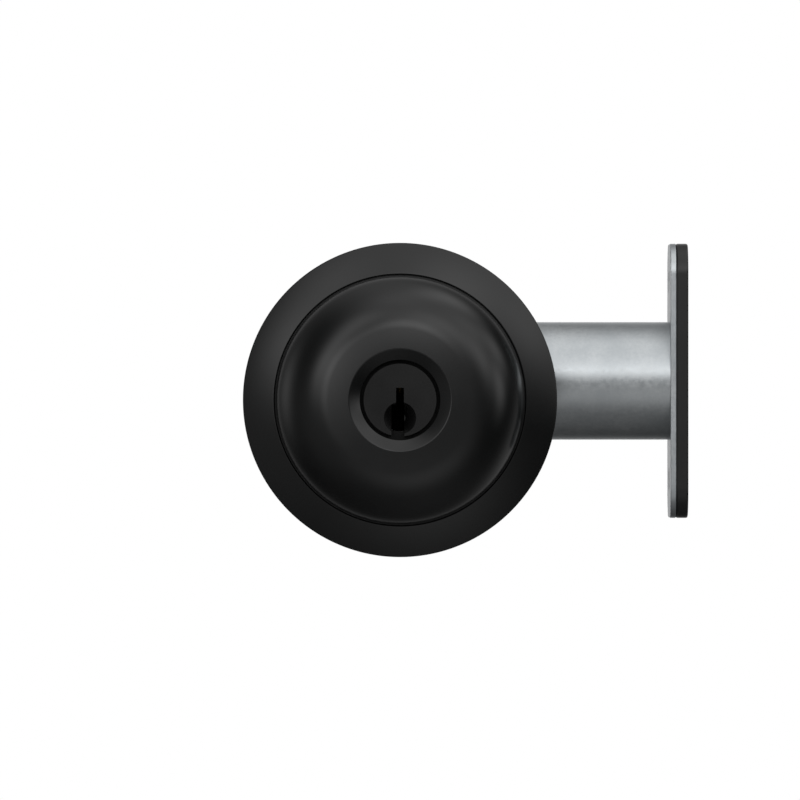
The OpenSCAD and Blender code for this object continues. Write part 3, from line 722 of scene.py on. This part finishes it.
stood = add_node(tree, "GeometryNodeTransform", {
    "Geometry": ribs.outputs["Instances"], "Rotation": (math.radians(90), 0, 0),
    "Translation": (0, collar_low.y + collar_w / 2, collar_mid_z)})
band = add_node(tree, "GeometryNodeObjectInfo", {"Object": collar_ring}, transform_space="ORIGINAL")
whole = add_node(tree, "GeometryNodeJoinGeometry")
for part in (stood, band):
    tree.links.new(part.outputs["Geometry"], whole.inputs["Geometry"])
collar = finished_piece("bore_adapter_piece", tree, whole.outputs["Geometry"], collar_sizes, black_nylon)
bpy.data.objects.remove(collar_ring)
stand_for(collar, "bore_adapter")

# %% [markdown]
# ## Broken edges
# Stamped and machined steel never keeps a knife edge: tumbling takes off a tenth or two. A copy of the CAD
# solid is merged, its flat areas are joined, and a bevel along the sharp edges gives each one its line of
# light. The size stays the same, because a bevel only takes material away. Only the facets of curved walls
# are shaded smooth: a large flat that shared its shading with a bevel would look dented.

# %% Broken edges
FLAT_DEG = 0.5        # faces that meet at less than this are one flat
CURVE_STEP_DEG = 20   # a curved wall's facets meet at less than this, flat walls don't
SHARP_DEG = 40        # edges sharper than this are broken


def edge_broken(node_name, width_mm):
    """A copy of a CAD node with its sharp edges bevelled, which takes the node's place."""
    source = frame["nodes"][node_name]
    piece = bpy.data.objects.new(node_name + "_piece", source.data.copy())
    bpy.context.scene.collection.objects.link(piece)
    shape = bmesh.new()
    shape.from_mesh(piece.data)
    bmesh.ops.remove_doubles(shape, verts=shape.verts, dist=10 * WELD)
    bmesh.ops.dissolve_limit(shape, angle_limit=math.radians(FLAT_DEG), verts=shape.verts, edges=shape.edges)
    shape.to_mesh(piece.data)
    shape.free()
    bevel = piece.modifiers.new("bevel", "BEVEL")
    bevel.width = width_mm * MM
    bevel.segments = 2
    bevel.limit_method = "ANGLE"
    bevel.angle_limit = math.radians(SHARP_DEG)
    bevel.use_clamp_overlap = True
    bpy.context.view_layer.update()
    mesh = bpy.data.meshes.new_from_object(piece.evaluated_get(bpy.context.evaluated_depsgraph_get()))
    piece.modifiers.clear()
    piece.data = mesh
    shape = bmesh.new()
    shape.from_mesh(mesh)
    for face in shape.faces:
        bends = [math.degrees(edge.calc_face_angle(0)) for edge in face.edges if len(edge.link_faces) == 2]
        face.smooth = any(FLAT_DEG < bend < CURVE_STEP_DEG for bend in bends)
    for edge in shape.edges:
        bend = edge.calc_face_angle(0) if len(edge.link_faces) == 2 else 0
        edge.smooth = bend <= math.radians(CURVE_STEP_DEG)
    shape.to_mesh(mesh)
    shape.free()
    return stand_for(piece, node_name)


BROKEN_EDGES_MM = {
    "faceplate": 0.35, "backplate": 0.15, "bolt": 0.35, "case_left": 0.12, "case_right": 0.12,
    "bolt_tail": 0.15, "crank": 0.15, "tailpiece": 0.12, "inner_plate": 0.15}
for node_name, width_mm in BROKEN_EDGES_MM.items():
    edge_broken(node_name, width_mm)

# %% [markdown]
# ## Studio
# Satin black shows nothing but the lights it mirrors, so the studio is a table of soft lamps on a far
# sphere. Each lamp has a direction, a spread and a strength, and fades like a bell curve, as a diffused
# softbox does. Two small ones stand near the camera's line, above it and to its left, and draw the soft
# highlights on the face and in the dish. A fan of wider ones, from the left over the top to the right,
# lights the dome's shoulder and the ring, and only weak fill comes from below. One behind the object keeps
# the inner side from going black. The camera itself sees plain white.

# %% Soft lamps on the world
# Degrees round the camera's line from the right towards up, degrees off that line, spread, strength
SOFT_LAMPS = [
    (79, 19, 6, 2.35),
    (155, 18, 6, 2.05),
    (62, 37, 12, 1.46),
    (155, 37, 9, 1.26),
    (120, 42, 11, 1.04),
    (26, 50, 9, 1.02),
    (90, 68, 18, 0.97),
    (46, 70, 14, 1.03),
    (8, 71, 8, 1.32),
    (27, 90, 9, 0.86),
    (74, 89, 8, 0.42),
    (62, 103, 11, 1.02),
    (98, 106, 21, 0.44),
    (174, 108, 13, 0.51),
    (340, 126, 16, 0.25),
    (289, 28, 16, 0.45),
    (191, 48, 27, 0.23),
    (287, 77, 27, 0.13),
    (90, 175, 18, 0.90),
]
FILL = 0.03
world = bpy.data.worlds.new("studio")
bpy.context.scene.world = world
world.use_nodes = True
sky_tree = world.node_tree
sky_tree.nodes.clear()
way = add_node(sky_tree, "ShaderNodeTexCoord").outputs["Generated"]
light = FILL
for round_deg, off_deg, spread_deg, strength in SOFT_LAMPS:
    turn, off = math.radians(round_deg), math.radians(off_deg)
    centre = (math.sin(off) * math.cos(turn), -math.cos(off), math.sin(off) * math.sin(turn))
    tightness = 1 / math.radians(spread_deg) ** 2
    near = add_node(sky_tree, "ShaderNodeVectorMath", {0: way, 1: centre}, operation="DOT_PRODUCT")
    fade = add_node(sky_tree, "ShaderNodeMath", {0: near.outputs["Value"], 1: tightness, 2: -tightness},
                    operation="MULTIPLY_ADD")
    bell = add_node(sky_tree, "ShaderNodeMath", {0: fade.outputs["Value"]}, operation="EXPONENT")
    light = add_node(sky_tree, "ShaderNodeMath", {0: bell.outputs["Value"], 1: strength, 2: light},
                     operation="MULTIPLY_ADD").outputs["Value"]
seen = add_node(sky_tree, "ShaderNodeLightPath")
amount = add_node(sky_tree, "ShaderNodeMix", {
    "Factor": seen.outputs["Is Camera Ray"], 2: light, 3: 1.0}, data_type="FLOAT")
sky = add_node(sky_tree, "ShaderNodeBackground", {"Color": linear("#ffffff"), "Strength": amount.outputs[0]})
add_node(sky_tree, "ShaderNodeOutputWorld", {"Surface": sky.outputs["Background"]})
print("soft lamps:", len(SOFT_LAMPS))

# %% [markdown]
# The floor is a pale disc well below the lock, which is held by its door and doesn't stand on it. A pale
# floor would fill the lower half of every black curve with its own reflection, so a studio lays black card
# there. Hiding the floor from reflections does the same.

# %% Floor
bpy.context.scene.view_settings.view_transform = "Standard"
FLOOR_Z = -0.10
FLOOR_R = 0.38
floor_material, floor_tree = start_material("pale floor")
finish_material(floor_tree, add_node(floor_tree, "ShaderNodeBsdfPrincipled", {
    "Base Color": linear("#ededec"), "Roughness": 0.8}))
bpy.ops.mesh.primitive_circle_add(vertices=128, radius=FLOOR_R, fill_type="NGON", location=(0, 0, FLOOR_Z))
floor = bpy.context.object
floor.name = "floor"
floor.data.materials.append(floor_material)
floor.visible_glossy = False
